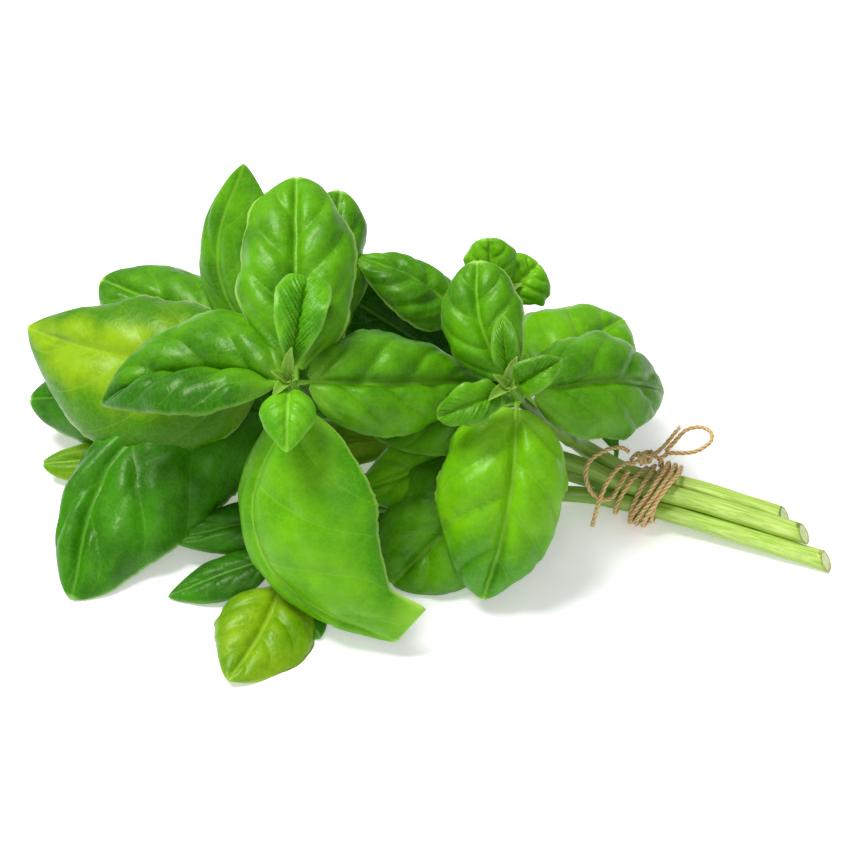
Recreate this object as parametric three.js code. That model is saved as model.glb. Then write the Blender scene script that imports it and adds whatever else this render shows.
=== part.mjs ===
// A bunch of fresh basil: five cut sprigs laid on their side and tied with jute twine.
// Millimetres, +Z up. The bunch lies on z = 0, its cut ends point to +X and its leaves to -X.
// The layout is written from the middle of the leaves, and the finished group is then
// moved so that the origin is the middle of its footprint.
import * as THREE from "three";

// Driving dimensions.
const STEM_RADIUS = 3.1; // at the cut end
const APEX_RADIUS = 1.3; // where the youngest leaves grow
const PETIOLE_RADIUS = 0.9;
const BLADE_HALF_THICKNESS = 0.45;
const TWINE_RADIUS = 0.8;
const GAP = 0.35; // between pieces that touch
const STEM_SIDES = 10;
const STEM_STEPS = 22;

const STEM_GREEN = 0x8fbf3f;
const LEAF_GREEN = 0x4f9a1a;
const YOUNG_GREEN = 0x6fb32c;
const TWINE_TAN = 0xc39a5f;

// The tie, and the way the cut ends point from it.
const TIE = new THREE.Vector3(80, -6, 0);
const TO_CUT = new THREE.Vector3(0.937, -0.35, 0);
const ACROSS = new THREE.Vector3(0.35, 0.937, 0);

const vec = (p) => new THREE.Vector3(...p);

// A point of the tied bundle: along towards the cut ends, across it, and up.
function inBundle(along, across, up) {
  return TIE.clone()
    .addScaledVector(TO_CUT, along)
    .addScaledVector(ACROSS, across)
    .setZ(up);
}

// Closed rings of points, joined into one closed skin. The last ring may be a single point.
function skin(rings) {
  const points = [];
  const faces = [];
  const starts = rings.map((ring) => points.push(...ring) - ring.length);
  for (let i = 0; i + 1 < rings.length; i++) {
    const n = rings[i].length;
    const tip = rings[i + 1].length === 1;
    for (let j = 0; j < n; j++) {
      const k = (j + 1) % n;
      const [a, b] = [starts[i] + j, starts[i] + k];
      const [c, d] = tip
        ? [starts[i + 1], starts[i + 1]]
        : [starts[i + 1] + j, starts[i + 1] + k];
      faces.push(a, b, d);
      if (!tip) faces.push(a, d, c);
    }
  }
  const cap = (start, n, flip) => {
    for (let j = 1; j + 1 < n; j++)
      faces.push(start, start + (flip ? j + 1 : j), start + (flip ? j : j + 1));
  };
  cap(starts[0], rings[0].length, true);
  const last = rings.at(-1).length;
  if (last > 1) cap(starts.at(-1), last, false);
  const geometry = new THREE.BufferGeometry();
  geometry.setAttribute(
    "position",
    new THREE.Float32BufferAttribute(
      points.flatMap((p) => p.toArray()),
      3,
    ),
  );
  geometry.setIndex(faces);
  geometry.computeVertexNormals();
  return geometry;
}

function mesh(name, geometry, color, roughness) {
  const material = new THREE.MeshStandardMaterial({ color, roughness, metalness: 0 });
  const made = new THREE.Mesh(geometry, material);
  made.name = name;
  return made;
}

// Stems. Each runs from its slanting cut, through the tie, to the tip of its sprig.
// Three lie side by side and two on top of them, raised at the tie by the twine below.
const STEMS = {
  a: {
    cut: [52, -3.1, 9.9], tie: [-3.2, 13],
    path: [[53, -1, 18], [14, 0, 33], [-18, -9, 50], [-38, -24, 68], [-42, -32, 80]],
  },
  b: {
    cut: [44, 3.4, 9.5], tie: [3.2, 13],
    path: [[57, 6, 19], [43, -3, 36], [34, -14, 54], [27, -23, 70]],
  },
  c: {
    cut: [38, 6.7, 3.5], tie: [6.4, 7.4],
    path: [[56, 13, 13], [33, 27, 27], [22, 34, 44], [24, 33, 62]],
  },
  d: {
    cut: [61, -6.7, 3.5], tie: [-6.4, 7.4],
    path: [[50, -6, 9], [8, -14, 12], [-26, -24, 16], [-42, -39, 12], [-47, -48, 7]],
  },
  e: {
    cut: [42, 0, 3.5], tie: [0, 7.4],
    path: [[50, 3, 10.8], [10, 15, 18], [-24, 17, 30], [-43, 8, 44], [-52, 1, 56]],
  },
};

function stemCurve({ cut, tie, path }) {
  const straight = [cut, [10, ...tie], [-11, ...tie]].map((p) => inBundle(...p));
  return new THREE.CatmullRomCurve3([...straight, ...path.map(vec)]);
}

function stemRadius(t) {
  return STEM_RADIUS + (APEX_RADIUS - STEM_RADIUS) * t ** 1.6;
}

const curves = Object.fromEntries(
  Object.entries(STEMS).map(([name, stem]) => [name, stemCurve(stem)]),
);

function stemGeometry(curve) {
  const frames = curve.computeFrenetFrames(STEM_STEPS, false);
  const rings = [];
  for (let i = 0; i <= STEM_STEPS; i++) {
    const t = i / STEM_STEPS;
    const centre = curve.getPointAt(t);
    const ring = [];
    for (let j = 0; j < STEM_SIDES; j++) {
      const turn = (2 * Math.PI * j) / STEM_SIDES;
      const side = new THREE.Vector3()
        .addScaledVector(frames.normals[i], Math.cos(turn) * stemRadius(t))
        .addScaledVector(frames.binormals[i], Math.sin(turn) * stemRadius(t));
      // The knife went through at a slant: the top of the cut is further back.
      const slant = i === 0 ? 0.7 * side.z : 0;
      ring.push(centre.clone().add(side).addScaledVector(frames.tangents[i], slant));
    }
    rings.push(ring);
  }
  return skin(rings);
}

// Leaves. A leaf grows on a stem at a share of its length and reaches to its tip.
// face is the way its upper side looks, bow and sweep bend the midrib up and to its left,
// cup rolls both margins down and fold lifts both halves into a V (both in radians), and
// point says how sharp the tip is.
const LEAVES = [
  // Sprig a: the rosette in front.
  { name: "a_back", on: "a", at: 0.96, tip: [-42, 34, 112], face: [0, -8, 5],
    width: 40, bow: 4, point: 0.5 },
  { name: "a_front", on: "a", at: 0.96, tip: [-9, -74, 7], face: [-4, -7, 4],
    width: 54, bow: 12, sweep: -12, cup: 0.9 },
  { name: "a_left", on: "a", at: 0.98, tip: [-105, -17, 58], face: [0, -2, 9],
    width: 42, bow: 2, fold: 0.6, sweep: -7 },
  { name: "a_right", on: "a", at: 0.98, tip: [18, -6, 58], face: [0, -6, 8], width: 34, bow: 5 },
  { name: "a_young_back", on: "a", at: 1, tip: [-37, -6, 100], face: [0, -8, 5],
    width: 22, petiole: 2, fold: 0.6, point: 0.4 },
  { name: "a_young_front", on: "a", at: 1, tip: [-42, -57, 72], face: [0, -5, 9],
    width: 19, petiole: 2 },
  // Sprig b: the rosette nearer the tie.
  { name: "b_back", on: "b", at: 0.95, tip: [17, 11, 95], face: [-2, -8, 5],
    width: 28, bow: 4, sweep: 4, point: 0.45 },
  { name: "b_front", on: "b", at: 0.93, tip: [19, -54, 6], face: [1, -8, 5], width: 42, bow: 10 },
  { name: "b_right", on: "b", at: 0.93, tip: [82, 15, 38], face: [2, -6, 7],
    width: 40, bow: 9, point: 0.6 },
  { name: "b_left", on: "b", at: 0.9, tip: [-17, -14, 42], face: [0, -3, 9], width: 24, bow: 1 },
  { name: "b_right_back", on: "b", at: 0.8, tip: [69, 37, 52], face: [1, -5, 9],
    width: 46, bow: 4, sweep: 3, point: 0.6, petiole: 3 },
  { name: "b_young_right", on: "b", at: 1, tip: [43, -24, 82], face: [0, -7, 6],
    width: 12, petiole: 2, fold: 0.9 },
  { name: "b_young_left", on: "b", at: 1, tip: [4, -31, 64], face: [0, -7, 6],
    width: 13, petiole: 2, fold: 0.5, point: 0.6 },
  { name: "b_young_back", on: "b", at: 1, tip: [25, -6, 86], face: [-1, -8, 4],
    width: 10, petiole: 2, fold: 0.7 },
  { name: "b_low_left", on: "b", at: 0.68, tip: [-21, -22, 24], face: [0, -6, 8],
    width: 30, bow: 6 },
  { name: "b_low_front", on: "b", at: 0.72, tip: [-11, -45, 4], face: [-1, -8, 5],
    width: 44, bow: 8, point: 0.5 },
  { name: "b_low_right", on: "b", at: 0.6, tip: [66, 17, 29], face: [0, -5, 8], width: 28, bow: 2 },
  // Sprig c: the back of the bunch.
  { name: "c_folded", on: "c", at: 0.85, tip: [-19, 40, 75], face: [4, -2, 7],
    width: 25, cup: 1.2, bow: 9, petiole: 14 },
  { name: "c_inner", on: "c", at: 0.72, tip: [-26, 46, 54], face: [0, -7, 5],
    width: 44, bow: 2, petiole: 17, point: 0.5 },
  { name: "c_right", on: "c", at: 0.85, tip: [74, 46, 38], face: [0, -4, 7], width: 26, bow: 2 },
  { name: "c_top_left", on: "c", at: 1, tip: [22, 40, 84], face: [0, -7, 6],
    width: 18, bow: 2, petiole: 3, point: 0.4 },
  { name: "c_top_right", on: "c", at: 1, tip: [39, 42, 72], face: [0, -7, 6],
    width: 21, bow: 2, petiole: 3, point: 0.4 },
  // Sprig e: the left of the bunch, behind.
  { name: "e_left", on: "e", at: 0.98, tip: [-139, 38, 48], face: [0, -6, 7],
    width: 58, bow: 9, sweep: 8 },
  { name: "e_up", on: "e", at: 0.97, tip: [-59, 36, 116], face: [-3, -8, 3],
    width: 34, bow: 4, sweep: 7, petiole: 9 },
  { name: "e_behind", on: "e", at: 0.9, tip: [-29, 57, 92], face: [2, -7, 6],
    width: 28, bow: 4, point: 0.45 },
  { name: "e_back", on: "e", at: 0.9, tip: [-116, 62, 51], face: [0, -5, 8],
    width: 38, bow: 4, sweep: -2, point: 0.5 },
  { name: "e_low_left", on: "e", at: 0.85, tip: [-142, 36, 17], face: [0, -5, 8],
    width: 38, bow: 4, point: 0.5 },
  { name: "e_tip", on: "e", at: 0.64, tip: [-135, 12, 7], face: [0, -4, 9],
    width: 26, bow: 2, point: 0.5 },
  { name: "e_front", on: "e", at: 0.8, tip: [-117, -49, 1], face: [-2, -6, 7],
    width: 48, bow: 9, sweep: -20, petiole: 16, point: 0.6 },
  // Sprig d: low in front.
  { name: "d_under", on: "d", at: 0.8, tip: [-86, -30, 10], face: [0, -4, 9], width: 22, bow: 3 },
  { name: "d_low", on: "d", at: 0.95, tip: [-85, -48, 1], face: [0, -2, 9], width: 18, bow: 2 },
  { name: "d_front", on: "d", at: 1, tip: [-62, -87, 3], face: [0, -4, 9],
    width: 32, bow: 1, sweep: 2, petiole: 10, point: 0.7 },
  { name: "d_front_right", on: "d", at: 1, tip: [-34, -67, 1], face: [0, -4, 9],
    width: 13, bow: 0 },
  // Under and behind, mostly out of sight from the front.
  { name: "c_low_right", on: "c", at: 0.57, tip: [64, 66, 1], face: [0, 3, 9],
    width: 34, bow: 6, petiole: 10 },
  { name: "c_low_left", on: "c", at: 0.64, tip: [-6, 70, 1], face: [0, 3, 9],
    width: 36, bow: 6, petiole: 10 },
  { name: "c_low_back", on: "c", at: 0.75, tip: [24, 78, 14], face: [0, 4, 9], width: 34, bow: 8 },
  { name: "e_low_back", on: "e", at: 0.55, tip: [-62, 68, 1], face: [0, 3, 9], width: 38, bow: 6 },
  { name: "e_high_back", on: "e", at: 0.75, tip: [-76, 78, 44], face: [0, 2, 9],
    width: 34, bow: 6 },
  { name: "d_low_left", on: "d", at: 0.65, tip: [-60, -2, 2], face: [0, -2, 9], width: 24, bow: 3 },
];

const LEAF = { width: 30, petiole: 6, bow: 5, sweep: 0, cup: 0.7, fold: 0.2, point: 0.8 };
const COLUMNS = [-1, -0.55, 0, 0.55, 1];
const STATIONS = [0.03, 0.12, 0.25, 0.38, 0.52, 0.66, 0.79, 0.9, 0.97];

// The blade's width at u, as a share of its widest, from 0 where the petiole ends to 1 at
// the tip. An egg-shaped outline, blunt at the base; point says how sharp the tip is.
function widthAt(u, point) {
  const base = 0.55;
  const widest = base / (base + point);
  return (u / widest) ** base * ((1 - u) / (1 - widest)) ** point;
}

// The middle of the leaf as a function of s, from 0 at the stem to 1 at the tip, and its frame.
function midrib(leaf) {
  const curve = curves[leaf.on];
  const root = curve.getPointAt(leaf.at);
  const axis = curve.getTangentAt(leaf.at);
  const tip = vec(leaf.tip);
  const out = tip.clone().sub(root);
  out.addScaledVector(axis, -out.dot(axis)).normalize();
  const start = root.addScaledVector(out, stemRadius(leaf.at) + GAP + PETIOLE_RADIUS);
  const along = tip.clone().sub(start);
  const length = along.length();
  along.normalize();
  const up = vec(leaf.face);
  up.addScaledVector(along, -up.dot(along)).normalize();
  const left = new THREE.Vector3().crossVectors(up, along);
  const at = (s) => {
    const arch = Math.sin(Math.PI * s);
    return start
      .clone()
      .addScaledVector(along, length * s)
      .addScaledVector(up, leaf.bow * arch)
      .addScaledVector(left, leaf.sweep * arch);
  };
  const frame = (s) => {
    const [a, b] = [Math.max(0, s - 0.01), Math.min(1, s + 0.01)];
    const forward = at(b).sub(at(a)).normalize();
    const side = left.clone();
    side.addScaledVector(forward, -side.dot(forward)).normalize();
    return { side, normal: new THREE.Vector3().crossVectors(forward, side) };
  };
  return { at, frame, petioleShare: leaf.petiole / length };
}

// One section across the blade: v from -1 at the right margin to 1 at the left.
function acrossBlade(v, half, { cup, fold }) {
  const y = (half * Math.sin(cup * Math.abs(v))) / cup;
  const z = (-half * (1 - Math.cos(cup * v))) / cup;
  return [
    Math.sign(v) * (y * Math.cos(fold) - z * Math.sin(fold)),
    y * Math.sin(fold) + z * Math.cos(fold),
  ];
}

function leafGeometry(leaf) {
  const { at, frame, petioleShare } = midrib(leaf);
  const section = (s, half, thick, shape) => {
    const { side, normal } = frame(s);
    const point = (v, face) => {
      const [y, z] = acrossBlade(v, half, shape);
      const skinOut = face * thick * Math.sqrt(1 - v * v);
      return at(s)
        .addScaledVector(side, y)
        .addScaledVector(normal, z + skinOut);
    };
    const under = COLUMNS.map((v) => point(v, -1));
    const over = COLUMNS.slice(1, -1).reverse().map((v) => point(v, 1));
    return [...under, ...over];
  };
  const round = { cup: 0.01, fold: 0 };
  const rings = [0, 0.5, 0.95].map((share) =>
    section(share * petioleShare, PETIOLE_RADIUS, PETIOLE_RADIUS, round),
  );
  for (const u of STATIONS)
    rings.push(
      section(
        petioleShare + (1 - petioleShare) * u,
        (widthAt(u, leaf.point) * leaf.width) / 2,
        BLADE_HALF_THICKNESS,
        leaf,
      ),
    );
  rings.push([at(1)]);
  return skin(rings);
}

// Twine. The outline round the bundle at the tie, as far out as the given layer of cord.
const BUNDLE = [[-6.4, 7.4], [6.4, 7.4], [3.2, 13], [-3.2, 13]];

function aroundBundle(layer) {
  const reach = STEM_RADIUS + GAP + TWINE_RADIUS + (layer - 1) * (2 * TWINE_RADIUS + GAP);
  const corners = [];
  for (let i = 0; i <= 90; i++) {
    const turn = Math.PI / 2 + (2 * Math.PI * i) / 90;
    const [out, up] = [Math.cos(turn), Math.sin(turn)];
    const far = (p) => p[0] * out + p[1] * up;
    const corner = BUNDLE.reduce((best, p) => (far(p) > far(best) ? p : best));
    corners.push(new THREE.Vector3(corner[0] + reach * out, corner[1] + reach * up, 0));
  }
  return new THREE.CatmullRomCurve3(corners);
}

// The wrap, as turns made so far, place along the bundle, and layer of cord. A whole number
// of turns is on top of the bundle, and the cord comes down on its front side.
const WRAP = [
  [0, -5, 1], [0.4, -12, 1], [0.75, -8, 1],
  [1, -2.6, 1], [1.4, -6.5, 1], [1.75, -3.5, 1],
  [2, 0, 1], [2.4, -2.5, 1], [2.75, 0.2, 1],
  [3, 2.6, 1], [3.4, 1, 1], [3.75, 4, 1.2],
  [4, 6.5, 2], [4.4, -1.4, 2], [4.75, 3, 2],
  [5, 4.1, 2], [5.4, -3.8, 2], [5.75, 0.6, 2],
  [6, 1.7, 2], [6.4, -6.2, 2], [6.75, -1.8, 2], [7, -0.7, 2],
];
const WRAP_STEPS_PER_TURN = 26;

function wrapCurve() {
  const route = new THREE.CatmullRomCurve3(WRAP.map(vec));
  const outlines = [aroundBundle(1), aroundBundle(2)];
  const points = [];
  const count = WRAP.at(-1)[0] * WRAP_STEPS_PER_TURN;
  for (let i = 0; i <= count; i++) {
    const { x: turns, y: along, z: layer } = route.getPoint(i / count);
    const [inner, outer] = outlines.map((outline) => outline.getPointAt(turns % 1));
    const at = inner.lerp(outer, layer - 1);
    points.push(inBundle(along, at.x, at.y));
  }
  return new THREE.CatmullRomCurve3(points);
}

// A cord of the given section sides and steps.
function cordGeometry(curve, steps, sides) {
  const section = new THREE.Shape();
  for (let i = 0; i < sides; i++) {
    const turn = (2 * Math.PI * i) / sides;
    section.lineTo(TWINE_RADIUS * Math.cos(turn), TWINE_RADIUS * Math.sin(turn));
  }
  return new THREE.ExtrudeGeometry(section, { steps, extrudePath: curve });
}

// The knot sits on top of the wrap. Its short end sticks out of it.
const KNOT = [
  [88, 8, 28], [85, 5, 25.5], [82, 2.5, 23.2], [79.5, 1, 21.8],
  [76, -0.5, 20.9], [72.5, -1, 20.6], [70.5, -1.2, 20.4],
];
const KNOT_RADII = [0.8, 0.8, 0.9, 1.8, 2.4, 1.9, 0.6];

function knotGeometry() {
  const curve = new THREE.CatmullRomCurve3(KNOT.map(vec));
  const frames = curve.computeFrenetFrames(KNOT.length - 1, false);
  const rings = KNOT.map((p, i) => {
    const ring = [];
    for (let j = 0; j < 8; j++) {
      const turn = (2 * Math.PI * j) / 8;
      ring.push(
        vec(p)
          .addScaledVector(frames.normals[i], Math.cos(turn) * KNOT_RADII[i])
          .addScaledVector(frames.binormals[i], Math.sin(turn) * KNOT_RADII[i]),
      );
    }
    return ring;
  });
  return skin(rings);
}

// The free parts of the cord: two loops and a long end.
const FREE = {
  loop_right: [
    [80, -2.5, 21.5], [82, -1, 22], [84, 0, 22.4], [87.5, -0.4, 22.7], [91, -0.4, 23],
    [93.8, 0.1, 23.5], [96, 1.5, 24], [98.2, 3.5, 24.5], [99, 6, 25], [98.2, 8.6, 25.3],
    [96, 10, 25.5], [93, 9.8, 25.6], [90, 8.6, 25.2], [88, 7.1, 24], [86, 5.4, 22.6],
    [83, 2.8, 20.8],
  ],
  loop_left: [
    [70, 1.4, 22], [68, 1, 23.8], [66, 0, 25], [63.6, -1.4, 25.8], [61, -3, 26],
    [58.6, -4.6, 25.8], [56.5, -6.2, 25], [55, -8, 23.6], [54.5, -9.8, 21.6],
    [55, -11.6, 19.2], [56.2, -13, 16.8], [58.4, -13.6, 14.6], [61.2, -13.7, 13.3],
    [63.8, -12.8, 13.6], [66, -10.2, 16], [68, -7.8, 18.2], [69.6, -6, 19.4],
  ],
  tail: [
    [70.4, -2.9, 20.4], [69.4, -4.2, 21.6], [67.8, -6, 22.6], [66, -8, 23],
    [64.4, -9.8, 22.7], [62.8, -11.4, 21.6], [61.4, -13, 20], [60.4, -14.3, 18.2],
    [59.6, -15.3, 16.2], [59, -16, 14], [58.5, -16.5, 12], [58.1, -16.8, 10],
    [57.8, -17, 8], [57.5, -17.1, 6], [57.3, -17.2, 4.4],
  ],
};

const bunch = new THREE.Group();
for (const [name, curve] of Object.entries(curves))
  bunch.add(mesh(`stem_${name}`, stemGeometry(curve), STEM_GREEN, 0.5));
for (const leaf of LEAVES) {
  const color = leaf.name.includes("young") ? YOUNG_GREEN : LEAF_GREEN;
  bunch.add(mesh(`leaf_${leaf.name}`, leafGeometry({ ...LEAF, ...leaf }), color, 0.4));
}

bunch.add(mesh("twine_wrap", cordGeometry(wrapCurve(), 182, 6), TWINE_TAN, 0.9));
bunch.add(mesh("twine_knot", knotGeometry(), TWINE_TAN, 0.9));
for (const [name, path] of Object.entries(FREE)) {
  const curve = new THREE.CatmullRomCurve3(path.map(vec));
  const steps = Math.ceil(curve.getLength() / 3.2);
  bunch.add(mesh(`twine_${name}`, cordGeometry(curve, steps, 8), TWINE_TAN, 0.9));
}

// The origin is the middle of the bunch's footprint, on the surface it lies on.
const box = new THREE.Box3().setFromObject(bunch);
const centre = box.getCenter(new THREE.Vector3());
bunch.position.set(-centre.x, -centre.y, -box.min.z);

export default bunch;
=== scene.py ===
"""A bunch of fresh basil: five cut sprigs laid on their side and tied with jute twine.

The tables are in millimetres, +Z up, written from the middle of the leaves, and ORIGIN
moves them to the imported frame's origin, the middle of the bunch's footprint.
"""

import math

import bpy
import numpy as np
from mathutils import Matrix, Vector, noise


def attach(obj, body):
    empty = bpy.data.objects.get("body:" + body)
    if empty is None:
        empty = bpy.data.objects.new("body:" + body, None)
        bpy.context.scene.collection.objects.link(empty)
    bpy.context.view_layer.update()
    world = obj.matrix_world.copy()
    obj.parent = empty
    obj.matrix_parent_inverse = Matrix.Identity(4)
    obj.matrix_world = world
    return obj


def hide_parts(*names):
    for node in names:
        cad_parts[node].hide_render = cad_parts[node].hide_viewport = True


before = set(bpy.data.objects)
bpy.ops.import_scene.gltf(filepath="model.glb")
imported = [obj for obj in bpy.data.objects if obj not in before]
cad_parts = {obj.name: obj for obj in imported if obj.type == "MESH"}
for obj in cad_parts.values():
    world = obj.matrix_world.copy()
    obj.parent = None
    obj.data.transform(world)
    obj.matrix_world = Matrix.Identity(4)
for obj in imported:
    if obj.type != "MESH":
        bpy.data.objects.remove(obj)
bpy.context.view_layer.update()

MM = 0.001
ORIGIN = np.array([2.54, 4.73, -0.13])
TAU = 2 * math.pi

# The stems are STEM_RADIUS where they are cut and APEX_RADIUS where they grow. GAP is what
# the CAD leaves between pieces that touch.
STEM_RADIUS = 3.1
APEX_RADIUS = 1.3
PETIOLE_RADIUS = 0.9
TWINE_RADIUS = 0.8
GAP = 0.35

# The bundle of stems at the tie: a point on the floor under it, and its directions.
TIE = np.array([80.0, -6.0, 0.0])
TO_CUT = np.array([0.937, -0.35, 0.0])
ACROSS = np.array([0.35, 0.937, 0.0])
UP = np.array([0.0, 0.0, 1.0])


# Numbers and curves --------------------------------------------------------


def unit(v):
    return v / np.maximum(np.linalg.norm(v, axis=-1, keepdims=True), 1e-12)


def smooth(value, low, high):
    """0 at low and 1 at high, with soft ends. low may be the greater one."""
    t = np.clip((value - low) / (high - low), 0, 1)
    return t * t * (3 - 2 * t)


def name_seed(name):
    """A whole number for a name, so that each piece has its own chances."""
    return sum(ord(c) * (i + 1) for i, c in enumerate(name)) % 97


def in_bundle(along, across, up):
    return TIE + TO_CUT * along + ACROSS * across + UP * up


class Route:
    """A centripetal Catmull-Rom curve, read by its share of length."""

    def __init__(self, points, steps=60):
        p = np.asarray(points, float)
        p = np.vstack([2 * p[0] - p[1], p, 2 * p[-1] - p[-2]])
        gaps = np.linalg.norm(np.diff(p, axis=0), axis=1) ** 0.5
        pieces = []
        for i in range(1, len(p) - 2):
            a, b, c, d = p[i - 1 : i + 3]
            before, here, after = gaps[i - 1 : i + 2]
            leave = (b - a) / before - (c - a) / (before + here) + (c - b) / here
            arrive = (c - b) / here - (d - b) / (here + after) + (d - c) / after
            leave, arrive = leave * here, arrive * here
            t = np.linspace(0, 1, steps, endpoint=False)[:, None]
            pieces.append(
                b
                + leave * t
                + (3 * (c - b) - 2 * leave - arrive) * t**2
                + (2 * (b - c) + leave + arrive) * t**3
            )
        self.points = np.vstack([*pieces, p[-2:-1]])
        steps_made = np.linalg.norm(np.diff(self.points, axis=0), axis=1)
        self.run = np.concatenate([[0], np.cumsum(steps_made)])
        self.length = self.run[-1]

    def at(self, share):
        share = np.clip(np.asarray(share, float), 0, 1) * self.length
        return np.stack([np.interp(share, self.run, c) for c in self.points.T], -1)

    def heading(self, share):
        share = np.asarray(share, float)
        return unit(self.at(share + 0.004) - self.at(share - 0.004))


def carried_frames(heading, first):
    """Sides and normals along a route that turn with it and don't spin."""
    side = np.empty_like(heading)
    now = first
    for i, h in enumerate(heading):
        now = unit(now - h * now.dot(h))
        side[i] = now
    return side, np.cross(heading, side)


def angles(count):
    return np.linspace(0, TAU, count, endpoint=False)


def spokes(side, normal, around):
    """The directions at each angle around each point of a route."""
    return (
        side[:, None] * np.cos(around)[None, :, None]
        + normal[:, None] * np.sin(around)[None, :, None]
    )


# Meshes --------------------------------------------------------------------

collection = bpy.context.scene.collection


def add_mesh(name, points, faces, attributes, material):
    """A smooth mesh from points of the tables, with none of them below the floor."""
    mesh = bpy.data.meshes.new(name)
    placed = (np.asarray(points) + ORIGIN) * MM
    placed[:, 2] = np.maximum(placed[:, 2], 0.0)
    mesh.from_pydata(placed.tolist(), [], faces)
    mesh.validate()
    for key, values in attributes.items():
        layer = mesh.attributes.new(key, "FLOAT", "POINT")
        layer.data.foreach_set("value", np.asarray(values, np.float32))
    mesh.polygons.foreach_set("use_smooth", [True] * len(mesh.polygons))
    mesh.materials.append(material)
    mesh.update()
    piece = bpy.data.objects.new(name, mesh)
    collection.objects.link(piece)
    return piece


class Skin:
    """Points and faces of one piece, with its attributes."""

    def __init__(self, keys):
        self.points = []
        self.faces = []
        self.count = 0
        self.values = {key: [] for key in keys}

    def add(self, points, faces, **values):
        start = self.count
        points = np.asarray(points, float).reshape(-1, 3)
        self.points.append(points)
        self.faces += [tuple(start + i for i in face) for face in faces]
        self.count += len(points)
        for key, kept in self.values.items():
            value = np.broadcast_to(np.asarray(values.get(key, 0.0), float), len(points))
            kept.append(value)

    def tube(self, rings, **values):
        """Closed rings of points, joined, with a fan on each end."""
        rings = np.asarray(rings, float)
        rows, sides = rings.shape[:2]
        ends = rings[[0, -1]].mean(1)
        faces = []
        for i in range(rows - 1):
            for j in range(sides):
                k = (j + 1) % sides
                a, b = i * sides + j, i * sides + k
                faces.append((a, b, b + sides, a + sides))
        first, last = rows * sides, rows * sides + 1
        for j in range(sides):
            k = (j + 1) % sides
            faces.append((first, k, j))
            faces.append((last, (rows - 1) * sides + j, (rows - 1) * sides + k))
        values = {
            key: np.concatenate([np.ravel(v), [np.ravel(v)[0], np.ravel(v)[-1]]])
            if np.ndim(v)
            else v
            for key, v in values.items()
        }
        self.add(np.vstack([rings.reshape(-1, 3), ends]), faces, **values)

    def make(self, name, material):
        values = {key: np.concatenate(kept) for key, kept in self.values.items()}
        return add_mesh(name, np.vstack(self.points), self.faces, values, material)


def stand_for(piece, node):
    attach(piece, "root")
    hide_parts(node)


# Materials -----------------------------------------------------------------


def colour(code):
    """The linear colour of a written sRGB code."""
    parts = [int(code[i : i + 2], 16) / 255 for i in (0, 2, 4)]
    return [((c + 0.055) / 1.055) ** 2.4 if c > 0.04045 else c / 12.92 for c in parts] + [1]


class Look:
    """A node material, built a node at a time."""

    def __init__(self, name):
        self.material = bpy.data.materials.new(name)
        self.material.use_nodes = True
        self.nodes = self.material.node_tree.nodes
        self.links = self.material.node_tree.links
        self.shader = self.nodes["Principled BSDF"]
        self.place = self.nodes.new("ShaderNodeTexCoord").outputs["Object"]

    def put(self, socket, value):
        if isinstance(value, bpy.types.NodeSocket):
            self.links.new(value, socket)
        else:
            socket.default_value = value

    def set(self, **values):
        for key, value in values.items():
            self.put(self.shader.inputs[key.replace("_", " ")], value)

    def attribute(self, name):
        node = self.nodes.new("ShaderNodeAttribute")
        node.attribute_name = name
        return node.outputs["Fac"]

    def math(self, operation, a, b=0.0, clamp=False):
        node = self.nodes.new("ShaderNodeMath")
        node.operation = operation
        node.use_clamp = clamp
        self.put(node.inputs[0], a)
        self.put(node.inputs[1], b)
        return node.outputs[0]

    def times(self, a, b):
        return self.math("MULTIPLY", a, b)

    def ramp(self, value, low, high, out_low=0.0, out_high=1.0):
        node = self.nodes.new("ShaderNodeMapRange")
        node.interpolation_type = "SMOOTHSTEP"
        self.put(node.inputs["Value"], value)
        for key, number in (
            ("From Min", low),
            ("From Max", high),
            ("To Min", out_low),
            ("To Max", out_high),
        ):
            self.put(node.inputs[key], number)
        return node.outputs["Result"]

    def mix(self, share, a, b):
        node = self.nodes.new("ShaderNodeMix")
        node.data_type = "RGBA"
        self.put(node.inputs[0], share)
        self.put(node.inputs[6], a)
        self.put(node.inputs[7], b)
        return node.outputs[2]

    def tint(self, base, code, where, most):
        """The base, turned by up to most of the way to a colour, as far as where is 1."""
        return self.mix(self.times(where, most), base, colour(code))

    def noise(self, scale, detail=3.0, roughness=0.55, at=None):
        node = self.nodes.new("ShaderNodeTexNoise")
        self.put(node.inputs["Vector"], at or self.place)
        node.inputs["Scale"].default_value = scale
        node.inputs["Detail"].default_value = detail
        node.inputs["Roughness"].default_value = roughness
        return node.outputs["Fac"]

    def cells(self, scale, at):
        """0 on the borders between cells, growing towards their middles."""
        node = self.nodes.new("ShaderNodeTexVoronoi")
        node.feature = "DISTANCE_TO_EDGE"
        self.put(node.inputs["Vector"], at)
        node.inputs["Scale"].default_value = scale
        return node.outputs["Distance"]

    def combined(self, x, y, z):
        node = self.nodes.new("ShaderNodeCombineXYZ")
        for socket, value in zip(node.inputs, (x, y, z)):
            self.put(socket, value)
        return node.outputs[0]

    def bump(self, height, strength, distance, normal=None):
        node = self.nodes.new("ShaderNodeBump")
        node.inputs["Strength"].default_value = strength
        node.inputs["Distance"].default_value = distance
        self.put(node.inputs["Height"], height)
        if normal is not None:
            self.put(node.inputs["Normal"], normal)
        return node.outputs[0]


LEAF_KEYS = ("phase", "across", "edge", "below", "tone", "base", "along", "pale")


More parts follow.
